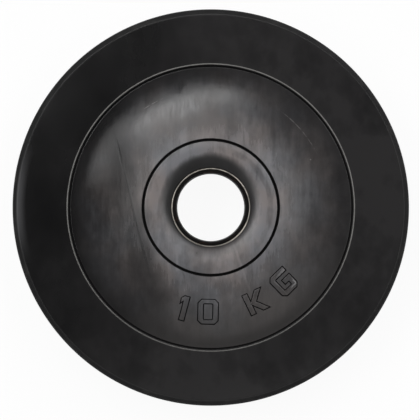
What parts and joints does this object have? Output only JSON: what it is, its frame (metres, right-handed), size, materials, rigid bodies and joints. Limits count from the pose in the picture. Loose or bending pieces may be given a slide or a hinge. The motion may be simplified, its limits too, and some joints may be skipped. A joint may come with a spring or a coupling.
{
  "type": "plastic weight plate",
  "caption": "Round plastic-shelled weight plate with a dished face, a lined centre hole for a bar and a raised weight mark.",
  "frame": {"origin": "centre of the hole, at the level of the rear hub's flat face, on which the plate lies", "axes": "+Z along the hole's axis towards the marked face; +Y points from the mark across the hole, so the mark is at -Y"},
  "size_m": [0.3, 0.3, 0.056],
  "materials": {
    "shell": "satin",
    "core": "matte",
    "sleeve": "satin",
    "plug": "satin"
  },
  "bodies": {
    "root": {"front_shell": "shell", "rear_shell": "shell", "core_filling": "core", "bore_sleeve": "sleeve", "fill_plug": "plug", "vent_plug": "plug"}
  },
  "joints": []
}
